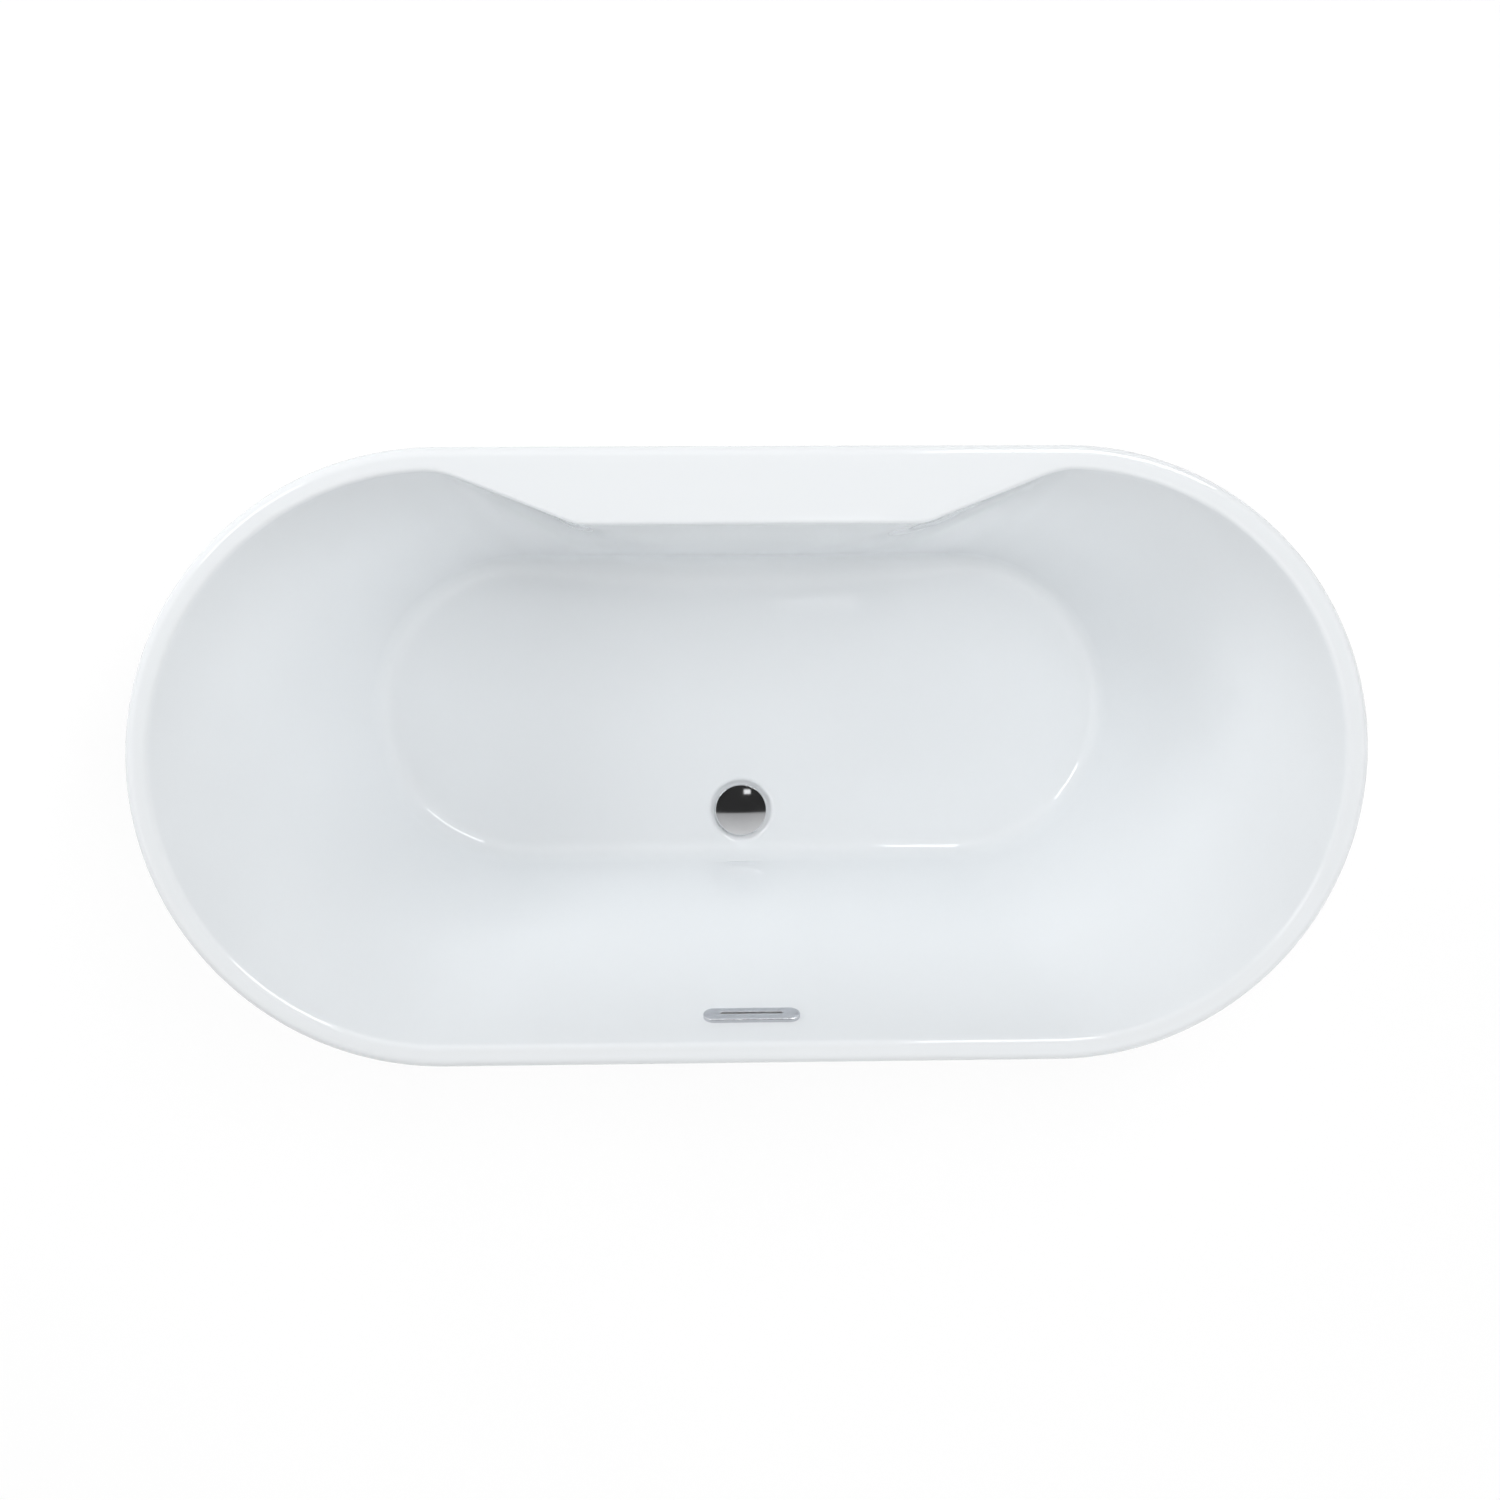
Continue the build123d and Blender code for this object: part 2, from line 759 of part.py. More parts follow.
def clamp_ring():
    """Plastic ring inside the well that draws the overflow duct to the wall."""
    ring_body = wall_slot(clamp_length, clamp_height, 0, clamp_thickness)
    ring_body -= wall_slot(overflow_hole_length, overflow_hole_height, 0, clamp_thickness)
    for side in (-1, 1):
        ring_body -= wall_pin(side * clamp_screw_half_spacing, 0, clamp_thickness, clamp_screw_hole)
    return ring_body


def clamp_screws():
    screws = []
    for side in (-1, 1):
        offset = side * clamp_screw_half_spacing
        head = wall_pin(offset, clamp_thickness, plate_depth - plate_wall - screw_gap, screw_head_radius)
        shank = wall_pin(offset, clamp_thickness - clamp_screw_length, clamp_thickness, clamp_screw_radius)
        screws.append(head + shank)
    return joined(screws)


def overflow_gasket():
    low = -acrylic - overflow_gasket_thickness
    gasket = wall_slot(clamp_length, clamp_height, low, -acrylic)
    gasket -= wall_slot(overflow_hole_length, overflow_hole_height, low, -acrylic)
    for side in (-1, 1):
        gasket -= wall_pin(side * clamp_screw_half_spacing, low, -acrylic, clamp_screw_hole)
    return gasket


def pipe_line():
    """Corner points of the overflow pipe, from the drain body up to the duct."""
    z = port_height()
    start = Vector(0, drain_y - port_reach + pipe_insert, z)
    bend = Vector(0, drain_y - pipe_corner_reach, z)
    top = overflow_frame().from_local_coords(Vector(0, -spigot_drop, -spigot_back))
    return start, bend, top


def overflow_duct():
    """Flat duct behind the wall with a round spigot for the pipe below it."""
    frame = overflow_frame()
    back = -acrylic - overflow_gasket_thickness
    front = back - duct_depth
    head = wall_slot(duct_length, duct_height, front, back)
    neck = frame * Pos(0, -duct_drop / 2, (front + back) / 2) * Box(duct_neck_length, duct_drop, duct_depth)
    duct = head + neck
    inner_length, inner_height = duct_length - 2 * duct_wall, duct_height - 2 * duct_wall
    cavity = wall_slot(inner_length, inner_height, front + duct_wall, back - duct_wall)
    cavity += frame * Pos(0, -duct_drop / 2, (front + back) / 2) * Box(
        duct_neck_length - 2 * duct_wall, duct_drop - 2 * duct_wall, duct_depth - 2 * duct_wall)
    bend, top = pipe_line()[1:]
    along = (top - bend).normalized()
    spigot_low = top - along * pipe_insert
    spigot_high = top + along * (spigot_length - pipe_insert)
    duct += rod(spigot_low, spigot_high, port_radius)
    duct -= cavity
    duct -= rod(spigot_low, spigot_high - along * duct_wall, pipe_radius - pipe_wall)
    duct -= rod(spigot_low, top + along * seat_gap, pipe_radius + thread_gap)
    duct -= wall_slot(overflow_hole_length, overflow_hole_height, back - duct_wall, back)
    for side in (-1, 1):
        offset = side * clamp_screw_half_spacing
        low = clamp_thickness - clamp_screw_length - screw_gap
        duct -= wall_pin(offset, low, back, clamp_screw_hole)
    return duct


def overflow_pipe():
    start, bend, top = pipe_line()
    path = FilletPolyline(start, bend, top, radius=pipe_bend_radius)
    outer = sweep(Plane(origin=start, z_dir=bend - start) * Circle(pipe_radius), path)
    inner = sweep(Plane(origin=start, z_dir=bend - start) * Circle(pipe_radius - pipe_wall), path)
    return outer - inner


def pipe_nut(mouth, away):
    """Union nut over a socket's mouth: away points along the pipe, off the socket."""
    direction = Vector(*away).normalized()
    mouth = Vector(*mouth)
    low = mouth - direction * pipe_nut_lap
    high = low + direction * pipe_nut_length
    face = Plane(origin=low, z_dir=direction) * RegularPolygon(pipe_nut_radius, pipe_nut_sides)
    nut = extrude(face, pipe_nut_length)
    nut -= rod(low, mouth, port_radius + thread_gap)
    return nut - rod(low, high, pipe_radius + screw_gap)


def lower_pipe_nut():
    start, bend = pipe_line()[:2]
    return pipe_nut((0, drain_y - port_reach, port_height()), bend - start)


def upper_pipe_nut():
    bend, top = pipe_line()[1:]
    along = (top - bend).normalized()
    return pipe_nut(top - along * pipe_insert, bend - top)


def build():
    """Every sub-part by its name."""
    parts = {
        "basin": basin(),
        "outer_skirt": outer_skirt(),
        "base_board": base_board(),
        "deck_board": deck_board(),
        "rail_front": rail(rail_front_y),
        "rail_back": rail(rail_back_y),
        "rail_plugs": rail_plugs(),
        "cross_left": cross_member(-cross_half_spacing, -cross_half_length, cross_half_length),
        "cross_middle": cross_member(0.0, rail_front_y - tube_size / 2, rail_back_y + tube_size / 2),
        "cross_right": cross_member(cross_half_spacing, -cross_half_length, cross_half_length),
        "end_plates": end_plates(),
        "block_screws": block_screws(),
        "board_screws": board_screws(),
        "weld_nuts": weld_nuts(),
        "lock_nuts": lock_nuts(),
        "drain_flange": drain_flange(),
        "flange_gasket": flange_gasket(),
        "drain_washer": drain_washer(),
        "drain_body": drain_body(),
        "tailpiece": tailpiece(),
        "slip_washer": slip_washer(),
        "slip_nut": slip_nut(),
        "stopper_cap": stopper_cap(),
        "stopper_seal": stopper_seal(),
        "cartridge": cartridge(),
        "plunger": plunger(),
        "stopper_spring": stopper_spring(),
        "overflow_plate": overflow_plate(),
        "clamp_ring": clamp_ring(),
        "clamp_screws": clamp_screws(),
        "overflow_gasket": overflow_gasket(),
        "overflow_duct": overflow_duct(),
        "overflow_pipe": overflow_pipe(),
        "lower_pipe_nut": lower_pipe_nut(),
        "upper_pipe_nut": upper_pipe_nut(),
    }
    for number, (x, side) in enumerate(cross_ends(), 1):
        parts[f"skirt_block_{number}"] = skirt_block(x, side)
    for number, (x, y) in enumerate(foot_places(), 1):
        parts[f"foot_pad_{number}"] = foot_pad(x, y)
        parts[f"foot_stem_{number}"] = foot_stem(x, y)
    return parts


os.makedirs("parts", exist_ok=True)
for name, shape in build().items():
    export_step(shape, f"parts/{name}.step")
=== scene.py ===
import json
import math

import bmesh
import bpy
import numpy as np
from mathutils import Matrix, Vector


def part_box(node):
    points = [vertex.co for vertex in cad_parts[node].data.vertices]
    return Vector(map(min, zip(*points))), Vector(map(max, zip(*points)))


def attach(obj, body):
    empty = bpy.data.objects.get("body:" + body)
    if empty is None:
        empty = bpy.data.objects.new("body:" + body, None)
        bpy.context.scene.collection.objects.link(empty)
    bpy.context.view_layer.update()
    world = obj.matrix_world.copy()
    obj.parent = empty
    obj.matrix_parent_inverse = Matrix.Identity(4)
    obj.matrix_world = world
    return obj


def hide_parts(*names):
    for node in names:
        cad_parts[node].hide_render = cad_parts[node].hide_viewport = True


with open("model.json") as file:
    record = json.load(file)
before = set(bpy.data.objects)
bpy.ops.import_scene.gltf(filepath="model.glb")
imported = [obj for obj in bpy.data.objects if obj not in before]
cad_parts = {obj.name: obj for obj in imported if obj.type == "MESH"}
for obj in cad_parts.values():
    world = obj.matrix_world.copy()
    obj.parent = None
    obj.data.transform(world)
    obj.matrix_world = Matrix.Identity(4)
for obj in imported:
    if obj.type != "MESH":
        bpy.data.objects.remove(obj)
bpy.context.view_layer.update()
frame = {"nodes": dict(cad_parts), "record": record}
nodes = frame["nodes"]
print("frame loaded:", len(nodes), "nodes")


# ---- surfaces from grids

def gridFaces(rows, cols, closeRows=True):
    # quads between neighbouring rows and columns, columns always closed round
    r = np.arange(rows if closeRows else rows - 1)[:, None]
    c = np.arange(cols)[None, :]
    up, side = (r + 1) % rows, (c + 1) % cols
    return np.stack([r * cols + c, r * cols + side, up * cols + side, up * cols + c], -1)


def addMesh(name, points, faces, materials, faceMaterial=None, sharpAngle=35):
    mesh = bpy.data.meshes.new(name)
    flat = faces.reshape(-1, faces.shape[-1]).astype(np.int32)
    mesh.vertices.add(len(points))
    mesh.vertices.foreach_set("co", points.astype(np.float32).ravel())
    mesh.loops.add(flat.size)
    mesh.loops.foreach_set("vertex_index", flat.ravel())
    mesh.polygons.add(len(flat))
    mesh.polygons.foreach_set("loop_start", np.arange(len(flat), dtype=np.int32) * flat.shape[1])
    for material in materials:
        mesh.materials.append(material)
    if faceMaterial is not None:
        mesh.polygons.foreach_set("material_index", faceMaterial.astype(np.int32).ravel())
    mesh.update(calc_edges=True)
    mesh.validate()
    mesh.shade_smooth()
    mesh.set_sharp_from_angle(angle=math.radians(sharpAngle))
    piece = bpy.data.objects.new(name, mesh)
    bpy.context.scene.collection.objects.link(piece)
    return piece


def stretches(*parts):
    # evenly stepped stretches end to end, each given as (start, end, steps)
    return np.concatenate([np.linspace(start, end, steps + 1)[:-1] for start, end, steps in parts])


def ovalColumns(front, arc, back):
    # one turn of a straight-sided oval, counter-clockwise from the middle of the front:
    # along is the share of the half straight side, dirX and dirY the outward direction.
    # front runs 0 to 1, arc is the end's angle from front to back, back runs 1 to -1
    ones = np.ones(len(arc))
    mirrored = np.append(arc[1:], math.pi / 2)[::-1]
    along = np.concatenate([front, ones, back, -ones, front - 1])
    dirX = np.concatenate([front * 0, np.cos(arc), back * 0, -np.cos(mirrored), front * 0])
    dirY = np.concatenate([front * 0 - 1, np.sin(arc), back * 0 + 1, np.sin(mirrored), front * 0 - 1])
    return along, dirX, dirY


def oval(columns, half, radius, shift=0.0):
    along, dirX, dirY = columns
    return np.stack([along * half + dirX * radius, shift + dirY * radius], -1)


def outward(curve):
    # unit normals of a closed plan curve that runs counter-clockwise
    run = np.roll(curve, -1, 0) - np.roll(curve, 1, 0)
    normal = np.stack([run[:, 1], -run[:, 0]], -1)
    return normal / np.linalg.norm(normal, axis=1, keepdims=True)


def lift(curve, height):
    return np.concatenate([curve, np.broadcast_to(np.asarray(height, float), len(curve))[:, None]], 1)


# ---- shader writing

class Value:
    # a socket that takes part in sums; each operator adds one Math node
    def __init__(self, tree, socket):
        self.tree, self.socket = tree, socket

    def maths(self, operation, first, second):
        node = self.tree.nodes.new("ShaderNodeMath")
        node.operation = operation
        for slot, part in zip(node.inputs, (first, second)):
            if isinstance(part, Value):
                self.tree.links.new(part.socket, slot)
            else:
                slot.default_value = part
        return Value(self.tree, node.outputs[0])

    def __add__(self, other): return self.maths("ADD", self, other)
    def __radd__(self, other): return self.maths("ADD", other, self)
    def __sub__(self, other): return self.maths("SUBTRACT", self, other)
    def __rsub__(self, other): return self.maths("SUBTRACT", other, self)
    def __mul__(self, other): return self.maths("MULTIPLY", self, other)
    def __rmul__(self, other): return self.maths("MULTIPLY", other, self)


class Finish:
    # one material: node() makes any node, the rest are short ways to call it
    def __init__(self, name, **fixed):
        self.material = bpy.data.materials.new(name)
        self.material.use_nodes = True
        self.tree = self.material.node_tree
        self.shader = self.tree.nodes["Principled BSDF"]
        for socket, value in fixed.items():
            self.shader.inputs[socket.replace("_", " ")].default_value = value
        self.place = self.node("TexCoord", output="Object")

    def node(self, kind, settings=None, inputs=None, output=0):
        node = self.tree.nodes.new("ShaderNode" + kind)
        for name, value in (settings or {}).items():
            if name == "stops":
                ramp = node.color_ramp
                while len(ramp.elements) < len(value):
                    ramp.elements.new(0.5)
                for element, (place, colour) in zip(ramp.elements, value):
                    element.position, element.color = place, (*colour, 1)
            else:
                setattr(node, name, value)
        for name, value in (inputs or {}).items():
            if isinstance(value, Value):
                self.tree.links.new(value.socket, node.inputs[name])
            else:
                node.inputs[name].default_value = value
        return Value(self.tree, node.outputs[output])

    def stretched(self, scale):
        return self.node("Mapping", inputs={"Vector": self.place, "Scale": scale})

    def noise(self, scale, detail=2.0, vector=None, roughness=0.5):
        return self.node("TexNoise", inputs={
            "Vector": vector or self.place, "Scale": scale, "Detail": detail, "Roughness": roughness})

    def ramp(self, factor, *stops):
        return self.node("ValToRGB", {"stops": stops}, {"Fac": factor})

    def feed(self, **links):
        for name, value in links.items():
            self.tree.links.new(value.socket, self.shader.inputs[name.replace("_", " ")])
        return self

    def bump(self, height, strength, distance):
        normal = self.node("Bump", inputs={"Height": height, "Strength": strength, "Distance": distance})
        return self.feed(Normal=normal)


# ---- finishes

acrylicFinish = {"low": (0.855, 0.880, 0.900), "high": (0.868, 0.893, 0.913), "gloss": 0.02}


def whiteAcrylic():
    # glossy sheet drawn over a mould: almost even, with a slow ripple and faint wipe marks
    made = Finish("whiteAcrylic", IOR=1.49, Coat_Roughness=0.03, Coat_IOR=1.45)
    cloud = made.noise(2.2, 3)
    wipe = made.noise(9, 4, made.stretched((0.35, 1.4, 1)))
    made.feed(Base_Color=made.ramp(cloud, (0.3, acrylicFinish["low"]), (0.7, acrylicFinish["high"])))
    made.feed(Roughness=wipe * 0.03 + acrylicFinish["gloss"], Coat_Weight=cloud * 0.2 + 0.15)
    return made.bump(made.noise(7, 1), 0.12, 0.0012).material


def glassFibreBack():
    # sprayed backing: chopped strands in resin over the sheet's hidden side
    made = Finish("glassFibreBack", IOR=1.52)
    strands = made.noise(160, 5, made.stretched((1, 2.6, 1)), 0.65)
    crossed = made.noise(150, 5, made.stretched((2.4, 1, 1.7)), 0.65)
    mat = strands * 0.5 + crossed * 0.5
    pool = made.noise(11, 3)
    tone = made.ramp(mat * 0.7 + pool * 0.3, (0.32, (0.55, 0.53, 0.44)), (0.62, (0.78, 0.77, 0.69)))
    made.feed(Base_Color=tone)
    made.feed(Roughness=pool * 0.3 + 0.35)
    return made.bump(mat, 0.55, 0.0015).material


def polishedChrome():
    made = Finish("polishedChrome", Metallic=1.0)
    smear = made.noise(30, 4)
    made.feed(Base_Color=made.ramp(smear, (0.3, (0.76, 0.77, 0.79)), (0.7, (0.82, 0.83, 0.85))))
    made.feed(Roughness=smear * 0.05 + 0.03)
    return made.bump(made.noise(45, 1), 0.05, 0.0004).material


def satinChrome():
    # brushed along the plate, then plated
    made = Finish("satinChrome", Metallic=1.0)
    brushed = made.noise(60, 5, made.stretched((1.5, 30, 30)), 0.6)
    made.feed(Base_Color=made.ramp(brushed, (0.3, (0.60, 0.61, 0.64)), (0.7, (0.68, 0.69, 0.72))))
    made.feed(Roughness=brushed * 0.12 + 0.2)
    return made.bump(brushed, 0.12, 0.0002).material


def rawBoard():
    # pressed wood strands, longer along the tub
    made = Finish("rawBoard", IOR=1.45)
    strand = made.node("TexVoronoi", {"feature": "F1"}, {
        "Vector": made.stretched((45, 150, 150)), "Scale": 1.0, "Randomness": 1.0}, "Color")
    grey = made.node("RGBToBW", inputs={"Color": strand})
    fibre = made.noise(40, 6, made.stretched((2, 16, 16)), 0.7)
    tone = grey * 0.55 + fibre * 0.45
    made.feed(Base_Color=made.ramp(
        tone, (0.15, (0.36, 0.24, 0.13)), (0.5, (0.56, 0.41, 0.25)), (0.85, (0.72, 0.57, 0.38))))
    made.feed(Roughness=fibre * 0.2 + 0.65)
    return made.bump(tone, 0.5, 0.0008).material


def powderCoat():
    made = Finish("powderCoat", IOR=1.5)
    peel = made.noise(650, 2)
    dust = made.noise(14, 5)
    made.feed(Base_Color=made.ramp(dust, (0.35, (0.022, 0.022, 0.024)), (0.75, (0.045, 0.045, 0.048))))
    made.feed(Roughness=dust * 0.25 + 0.32)
    return made.bump(peel, 0.35, 0.0003).material


def zincPlate():
    made = Finish("zincPlate", Metallic=1.0)
    spangle = made.node("TexVoronoi", {"feature": "F1"}, {"Vector": made.place, "Scale": 420.0}, "Distance")
    cloud = made.noise(60, 4)
    made.feed(Base_Color=made.ramp(
        cloud * 0.6 + spangle * 0.4, (0.2, (0.50, 0.51, 0.50)), (0.7, (0.72, 0.73, 0.72))))
    made.feed(Roughness=cloud * 0.25 + 0.25)
    return made.bump(spangle, 0.12, 0.0002).material


def springWire():
    made = Finish("springWire", Metallic=1.0)
    drawn = made.noise(900, 3)
    made.feed(Base_Color=made.ramp(drawn, (0.3, (0.44, 0.44, 0.46)), (0.7, (0.62, 0.62, 0.64))))
    made.feed(Roughness=drawn * 0.2 + 0.22)
    return made.bump(drawn, 0.1, 0.0001).material


def mouldedPlastic(name, dark, light, base, grain):
    made = Finish(name, IOR=1.5)
    sink = made.noise(22, 3)
    texture = made.noise(grain, 2)
    made.feed(Base_Color=made.ramp(sink, (0.3, dark), (0.7, light)))
    made.feed(Roughness=texture * 0.18 + base)
    return made.bump(texture, 0.22, 0.0003).material


def turnedBrass():
    made = Finish("turnedBrass", Metallic=1.0)
    rings = made.noise(30, 3, made.stretched((1, 1, 90)))
    tarnish = made.noise(55, 4)
    made.feed(Base_Color=made.ramp(tarnish, (0.3, (0.55, 0.39, 0.17)), (0.75, (0.78, 0.60, 0.30))))
    made.feed(Roughness=rings * 0.15 + 0.22)
    return made.bump(rings, 0.2, 0.0002).material


def softRubber():
    made = Finish("softRubber", IOR=1.5)
    bloom = made.noise(70, 5)
    made.feed(Base_Color=made.ramp(bloom, (0.35, (0.014, 0.014, 0.015)), (0.8, (0.045, 0.045, 0.046))))
    made.feed(Roughness=bloom * 0.2 + 0.68)
    return made.bump(made.noise(800, 2), 0.2, 0.0002).material


finishes = {
    "white_acrylic": whiteAcrylic(),
    "timber": rawBoard(),
    "coated_steel": powderCoat(),
    "zinc_steel": zincPlate(),
    "spring_steel": springWire(),
    "black_plastic": mouldedPlastic(
        "blackPlastic", (0.018, 0.018, 0.019), (0.034, 0.034, 0.036), 0.38, 520),
    "chrome": polishedChrome(),
    "brass": turnedBrass(),
    "black_rubber": softRubber(),
    "white_plastic": mouldedPlastic(
        "whitePlastic", (0.74, 0.74, 0.72), (0.80, 0.80, 0.785), 0.28, 300),
    "satin_chrome": satinChrome(),
}
fibreBack = glassFibreBack()
for part in frame["record"]["subparts"]:
    data = nodes[part["node"]].data
    data.materials.clear()
    data.materials.append(finishes[part["material_slot"]])
print("finishes made:", len(finishes) + 1)


# ---- bath shell: well, rim, faucet deck and lip in one sheet

shell = {
    "wall": 0.006,
    "rimWidth": 0.027, "rimRound": 0.012, "openingRound": 0.006, "lip": 0.035,
    "deckDepth": 0.092, "deckHalf": 0.208, "shoulderHalf": 0.370,
    "deckBlend": 0.012, "shoulderBlend": 0.022, "blendSpread": 0.13,
    "bathDepth": 0.430, "floorHalf": 0.489, "floorHalfWidth": 0.203, "floorShift": 0.019,
    "filletRun": 0.024, "deckFillet": 1.2,
    "recessRadius": 0.044, "recessDepth": 0.006, "recessSlope": 0.008, "recessRound": 0.0028,
    # the floor's rows stop at recessEdge rounds outside the recess, the cone's at recessFlat
    # inside its bottom; the hidden side's fillet is backFillet times the seen one
    "recessEdge": 1.6, "recessFlat": 0.003, "bossRadius": 0.050, "holeRadius": 0.024,
    "lipEdge": 0.0012, "backFillet": 1.15,
    "overflowBelow": 0.054, "overflowHalf": 0.042, "overflowHigh": 0.013,
    # rows of each stretch; the overflow's hole lies between wallSteps and wallTopSteps
    "coneSteps": 15, "holeSteps": 3, "wallSteps": 33, "wallTopSteps": 5, "openingSteps": 8,
    "deckSteps": 8, "rimSteps": 11, "lipSteps": 4, "backSteps": 3, "underFloorSteps": 16,
    # steps round the plan, closer at the corners of the deck and its shoulders
    "front": [(0, 1, 66)],
    "arc": [(-90, 66, 86), (66, 90, 22)],
    "back": [(1, 0.90, 14), (0.90, 0.62, 12), (0.62, 0.49, 26), (0.49, -0.49, 32),
             (-0.49, -0.62, 26), (-0.62, -0.90, 12), (-0.90, -1, 14)],
}
_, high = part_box("basin")
tubHalfLength, tubHalfWidth, tubTop = high.x, high.y, high.z
drainLow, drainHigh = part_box("stopper_cap")
drainY = (drainLow.y + drainHigh.y) / 2
endCentre = tubHalfLength - tubHalfWidth
openingRadius = tubHalfWidth - shell["rimWidth"]
floorTop = tubTop - shell["bathDepth"]
floorEndCentre = shell["floorHalf"] - shell["floorHalfWidth"]
wallLean = (openingRadius - shell["floorHalfWidth"]) / shell["bathDepth"]
frontLean = wallLean + shell["floorShift"] / shell["bathDepth"]
wallSlant = math.hypot(1, wallLean)
frontSlant = math.hypot(1, frontLean)
columns = ovalColumns(
    stretches(*shell["front"]), np.radians(stretches(*shell["arc"])), stretches(*shell["back"]))


def corner(distance, halfWidth):
    # 0 before the corner, the distance after it, a parabola across it
    blend = (distance + halfWidth) ** 2 / (4 * halfWidth)
    return np.where(distance <= -halfWidth, 0.0, np.where(distance >= halfWidth, distance, blend))


def deckDrop(x, spread=0.0):
    # how far the opening's back edge is pulled in to leave room for the deck,
    # with corners that spread down the wall
    deckEdge = tubHalfWidth - shell["deckDepth"]
    slope = (openingRadius - deckEdge) / (shell["shoulderHalf"] - shell["deckHalf"])
    shoulder = corner(shell["shoulderHalf"] - abs(x), shell["shoulderBlend"] + spread)
    return slope * (shoulder - corner(shell["deckHalf"] - abs(x), shell["deckBlend"] + spread))


# height of the wall's foot in every column, greater under the deck
deckX = oval(columns, endCentre, openingRadius)[:, 0]
deckShare = np.where(columns[2] > 0, deckDrop(deckX, shell["blendSpread"]) / deckDrop(0.0), 0)
filletRun = shell["filletRun"] * (1 + shell["deckFillet"] * deckShare)
foot = filletRun / shell["bathDepth"]


def wellPlan(fraction):
    # half straight side, end radius and shift, from the floor's edge, 0, to the opening, 1
    half = floorEndCentre + fraction * (endCentre - floorEndCentre)
    radius = shell["floorHalfWidth"] + fraction * (openingRadius - shell["floorHalfWidth"])
    return half, radius, shell["floorShift"] * (1 - fraction)


def wellCurve(fraction, growth=0.0):
    half, radius, shift = wellPlan(fraction)
    curve = oval(columns, half, radius, shift)
    behind = columns[2] > 0
    drop = deckDrop(curve[:, 0] * endCentre / half, (1 - fraction) * shell["blendSpread"])
    curve[:, 1] -= np.where(behind, fraction * drop, 0)
    return curve + growth * outward(curve)


def floorHeight(x, y, run, rise, grow=0.0):
    # a parabola from the foot of the wall to the flat floor, read from how far a point
    # lies inside the wall's foot, moved out by grow, and how much the wall leans there
    half, radius, shift = wellPlan(foot)
    drop = deckDrop(x * endCentre / half, (1 - foot) * shell["blendSpread"])
    dx = np.maximum(np.abs(x) - half, 0)
    dy = y - shift
    dy = dy + np.where(dy > 0, foot * drop, 0)
    away = np.hypot(dx, dy)
    inside = np.maximum(radius + grow - away, 0) / run
    side, face = dx / away, dy / away
    spread = (endCentre - floorEndCentre) * side + openingRadius - shell["floorHalfWidth"]
    spread = spread - shell["floorShift"] * face - np.where(face > 0, drop, 0)
    lean = spread / shell["bathDepth"]
    s = (1 - np.sqrt(np.clip(1 - (1 - lean) * (1 + lean - inside), 0, 1))) / (1 - lean)
    s = np.where(inside >= 1 + lean, 0, s)
    return s ** 2 * rise


def towards(curve, centreY, radius):
    # the point of a circle round the drain that faces each point of a curve
    arm = curve - np.array([0, centreY])
    return np.array([0, centreY]) + radius * arm / np.linalg.norm(arm, axis=1, keepdims=True)


def spacing(length, shortLength=0.03, longLength=0.2, steps=44):
    # steps that crowd towards the wall's foot on long runs and are even on short ones
    share = np.linspace(0, 1, steps + 1)[1:, None]
    return share ** (1 + np.clip((length - shortLength) / longLength, 0, 1))[None, :]


def wellFloorRows():
    # from the wall's foot to the drain hole: the floor, then the conical recess under it,
    # joined by the lower of the two heights with a small round between them
    wallFoot = wellCurve(foot)
    edge = shell["recessRadius"] + shell["recessEdge"] * shell["recessRound"]
    target = towards(wallFoot, drainY, edge)
    share = spacing(np.linalg.norm(target - wallFoot, axis=1))
    plan = list(wallFoot + share[..., None] * (target - wallFoot))
    bottom = shell["recessRadius"] - shell["recessSlope"]
    flat = bottom - shell["recessFlat"]
    radii = [*np.linspace(edge, flat, shell["coneSteps"] + 1)[1:]]
    radii += [*np.linspace(flat, shell["holeRadius"], shell["holeSteps"] + 1)[1:]]
    plan += [towards(wallFoot, drainY, r) for r in radii]
    rows = []
    for curve in plan:
        height = floorHeight(curve[:, 0], curve[:, 1], filletRun, filletRun)
        r = np.hypot(curve[:, 0], curve[:, 1] - drainY)
        cone = (r - shell["recessRadius"]) * shell["recessDepth"] / shell["recessSlope"]
        blend = shell["recessRound"]
        overlap = np.maximum(blend - np.abs(height - cone), 0) / blend
        height = np.minimum(height, cone) - overlap ** 2 * blend / 4
        under = -shell["recessDepth"]
        overlap = np.maximum(blend - np.abs(height - under), 0) / blend
        height = np.maximum(height, under) + overlap ** 2 * blend / 4
        rows.append(lift(curve, floorTop + height))
    return rows


def wallFractions():
    # heights of the wall's rows as shares of the depth, with three rows at the overflow's hole
    reach = shell["overflowHigh"] / 2 / frontSlant
    holeDepths = shell["overflowBelow"] + np.array([reach, -reach])
    hole = 1 - holeDepths / shell["bathDepth"]
    top = 1 - shell["openingRound"] / shell["bathDepth"]
    fractions = list(np.linspace(foot, hole[0], shell["wallSteps"] + 1)[1:])
    fractions.append((hole[0] + hole[1]) / 2)
    return fractions + list(np.linspace(hole[1], top, shell["wallTopSteps"] + 1))


